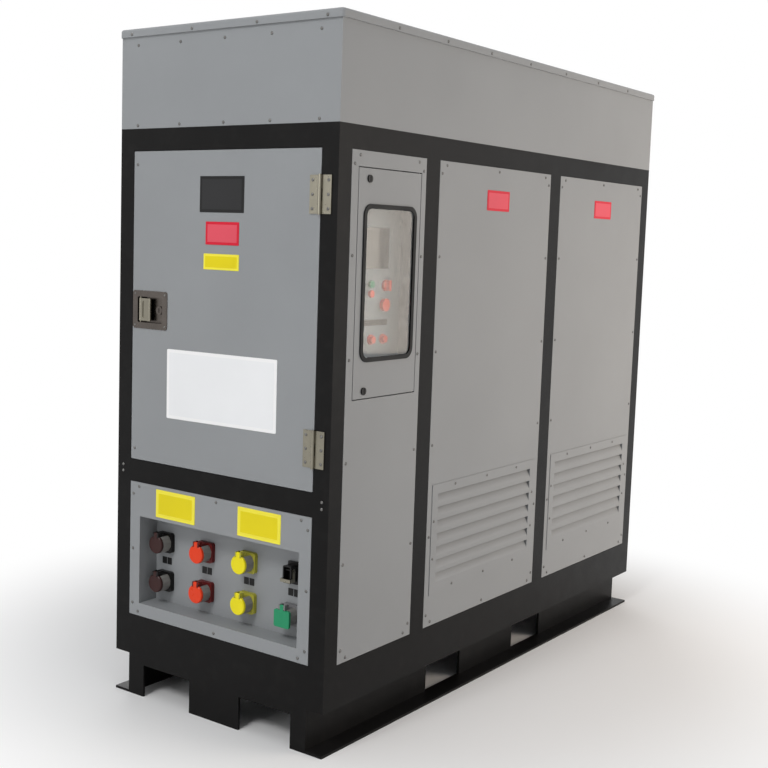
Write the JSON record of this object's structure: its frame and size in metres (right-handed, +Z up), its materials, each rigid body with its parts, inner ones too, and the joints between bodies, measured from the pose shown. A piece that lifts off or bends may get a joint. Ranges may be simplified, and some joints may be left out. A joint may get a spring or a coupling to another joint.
{
  "type": "generator load bank",
  "caption": "Free-standing resistive load bank cabinet with hinged door, socket recess, control bay, air-intake louvres and fork-lift skid.",
  "frame": {"origin": "centre of the whole machine's box, on the floor", "axes": "+Z up, -Y out of the door end, +X out of the control side"},
  "size_m": [0.888, 2.07, 2.102],
  "materials": {
    "frame_black": "satin black powder coat",
    "panel_grey": "satin light grey powder coat",
    "galvanised": "galvanised sheet",
    "stainless": "brushed stainless",
    "rubber_black": "matt",
    "window_clear": "clear",
    "plastic_black": "satin",
    "plastic_red": "gloss",
    "plastic_yellow": "gloss",
    "plastic_green": "gloss",
    "plastic_grey": "satin",
    "screw_steel": "zinc plated",
    "element_steel": "heat resisting steel",
    "motor_grey": "painted casting",
    "fan_alloy": "cast",
    "display_dark": "gloss"
  },
  "bodies": {
    "root": {"skid_rails": "frame_black", "skid_cross_plates": "frame_black", "base_rails": "frame_black", "corner_posts": "frame_black", "side_posts": "frame_black", "top_rails": "frame_black", "cross_rail": "frame_black", "panel_lips": "frame_black", "hood_panels": "panel_grey", "hood_cap": "panel_grey", "socket_panel": "panel_grey", "control_panel": "panel_grey", "body_panels": "panel_grey", "louvre_plates": "panel_grey", "control_fascia": "panel_grey", "floor_pan": "galvanised", "discharge_grille": "galvanised", "control_box": "galvanised", "bulkhead": "galvanised", "fan_deck": "galvanised", "element_racks": "galvanised", "hinge_post_leaves": "stainless", "hinge_pins": "stainless", "sockets_black": "plastic_black", "link_connector": "plastic_black", "sockets_red": "plastic_red", "indicator_lamps": "plastic_red", "sockets_yellow": "plastic_yellow", "socket_green": "plastic_grey", "switchgear": "plastic_grey", "panel_screws": "screw_steel", "hood_screws": "screw_steel", "element_rods": "element_steel", "fan_motors": "motor_grey", "display_unit": "display_dark"},
    "front_door": {"front_door": "panel_grey", "door_gasket": "rubber_black", "hinge_door_leaves": "stainless", "latch_pan": "stainless"},
    "latch_paddle": {"latch_paddle": "stainless"},
    "latch_bolt": {"latch_bolt": "stainless"},
    "control_door": {"control_door": "panel_grey", "window_gasket": "rubber_black", "window_pane": "window_clear"},
    "quarter_turn_upper": {"quarter_turn_upper": "plastic_black"},
    "quarter_turn_lower": {"quarter_turn_lower": "plastic_black"},
    "start_button": {"start_button": "plastic_green"},
    "stop_button": {"stop_button": "plastic_red"},
    "emergency_stop": {"emergency_stop": "plastic_red"},
    "selector_knob": {"selector_knob": "plastic_red"},
    "link_clip": {"link_clip": "stainless"},
    "fan_rotor_front": {"fan_rotor_front": "fan_alloy"},
    "fan_rotor_rear": {"fan_rotor_rear": "fan_alloy"},
    "lid_black_1": {"lid_black_1": "plastic_black"},
    "lid_black_2": {"lid_black_2": "plastic_black"},
    "lid_red_1": {"lid_red_1": "plastic_red"},
    "lid_red_2": {"lid_red_2": "plastic_red"},
    "lid_yellow_1": {"lid_yellow_1": "plastic_yellow"},
    "lid_yellow_2": {"lid_yellow_2": "plastic_yellow"},
    "lid_green": {"lid_green": "plastic_green"}
  },
  "joints": [
    {"name": "front_door_hinge", "type": "hinge", "parent": "root", "child": "front_door", "pos_m": [0.371, -1.029, 1.25], "axis": [0, 0, 1], "range_deg": [0, 110]},
    {"name": "latch_paddle_pivot", "type": "hinge", "parent": "front_door", "child": "latch_paddle", "pos_m": [-0.34, -1.018, 1.245], "axis": [0, 0, -1], "range_deg": [0, 50], "stiffness_Nm_per_rad": 0.3},
    {"name": "latch_bolt_slide", "type": "slide", "parent": "front_door", "child": "latch_bolt", "axis": [1, 0, 0], "range_m": [0, 0.012]},
    {"name": "control_door_pivot", "type": "hinge", "parent": "root", "child": "control_door", "pos_m": [0.424, -0.626, 1.3575], "axis": [0, 0, 1], "range_deg": [0, 100]},
    {"name": "quarter_turn_upper_turn", "type": "hinge", "parent": "control_door", "child": "quarter_turn_upper", "pos_m": [0.43, -0.879, 1.655], "axis": [1, 0, 0], "range_deg": [-90, 0]},
    {"name": "quarter_turn_lower_turn", "type": "hinge", "parent": "control_door", "child": "quarter_turn_lower", "pos_m": [0.43, -0.879, 1.052], "axis": [1, 0, 0], "range_deg": [0, 90]},
    {"name": "start_button_press", "type": "slide", "parent": "root", "child": "start_button", "axis": [-1, 0, 0], "range_m": [0, 0.004], "stiffness_N_per_m": 800},
    {"name": "stop_button_press", "type": "slide", "parent": "root", "child": "stop_button", "axis": [-1, 0, 0], "range_m": [0, 0.004], "stiffness_N_per_m": 800},
    {"name": "emergency_stop_press", "type": "slide", "parent": "root", "child": "emergency_stop", "axis": [-1, 0, 0], "range_m": [0, 0.004], "stiffness_N_per_m": 1500},
    {"name": "selector_knob_turn", "type": "hinge", "parent": "root", "child": "selector_knob", "pos_m": [0.36, -0.693, 1.35], "axis": [1, 0, 0], "range_deg": [-45, 45]},
    {"name": "lid_black_1_hinge", "type": "hinge", "parent": "root", "child": "lid_black_1", "pos_m": [-0.278, -0.998, 0.535], "axis": [-1, 0, 0], "range_deg": [0, 100], "stiffness_Nm_per_rad": 0.1},
    {"name": "lid_black_2_hinge", "type": "hinge", "parent": "root", "child": "lid_black_2", "pos_m": [-0.278, -0.998, 0.409], "axis": [-1, 0, 0], "range_deg": [0, 100], "stiffness_Nm_per_rad": 0.1},
    {"name": "lid_red_1_hinge", "type": "hinge", "parent": "root", "child": "lid_red_1", "pos_m": [-0.102, -0.998, 0.535], "axis": [-1, 0, 0], "range_deg": [0, 100], "stiffness_Nm_per_rad": 0.1},
    {"name": "lid_red_2_hinge", "type": "hinge", "parent": "root", "child": "lid_red_2", "pos_m": [-0.102, -0.998, 0.409], "axis": [-1, 0, 0], "range_deg": [0, 100], "stiffness_Nm_per_rad": 0.1},
    {"name": "lid_yellow_1_hinge", "type": "hinge", "parent": "root", "child": "lid_yellow_1", "pos_m": [0.074, -0.998, 0.535], "axis": [-1, 0, 0], "range_deg": [0, 100], "stiffness_Nm_per_rad": 0.1},
    {"name": "lid_yellow_2_hinge", "type": "hinge", "parent": "root", "child": "lid_yellow_2", "pos_m": [0.074, -0.998, 0.409], "axis": [-1, 0, 0], "range_deg": [0, 100], "stiffness_Nm_per_rad": 0.1},
    {"name": "lid_green_hinge", "type": "hinge", "parent": "root", "child": "lid_green", "pos_m": [0.25, -0.998, 0.409], "axis": [-1, 0, 0], "range_deg": [0, 100], "stiffness_Nm_per_rad": 0.1},
    {"name": "link_clip_pivot", "type": "hinge", "parent": "root", "child": "link_clip", "pos_m": [0.25, -0.972, 0.512], "axis": [-1, 0, 0], "range_deg": [0, 80]},
    {"name": "fan_front_spin", "type": "hinge", "parent": "root", "child": "fan_rotor_front", "pos_m": [0, -0.1625, 0.86], "axis": [0, 0, 1], "continuous": true},
    {"name": "fan_rear_spin", "type": "hinge", "parent": "root", "child": "fan_rotor_rear", "pos_m": [0, 0.619, 0.86], "axis": [0, 0, 1], "continuous": true}
  ],
  "couplings": [
    {"joint": "latch_bolt_slide", "follows": "latch_paddle_pivot", "m_per_rad": 0.0137}
  ]
}
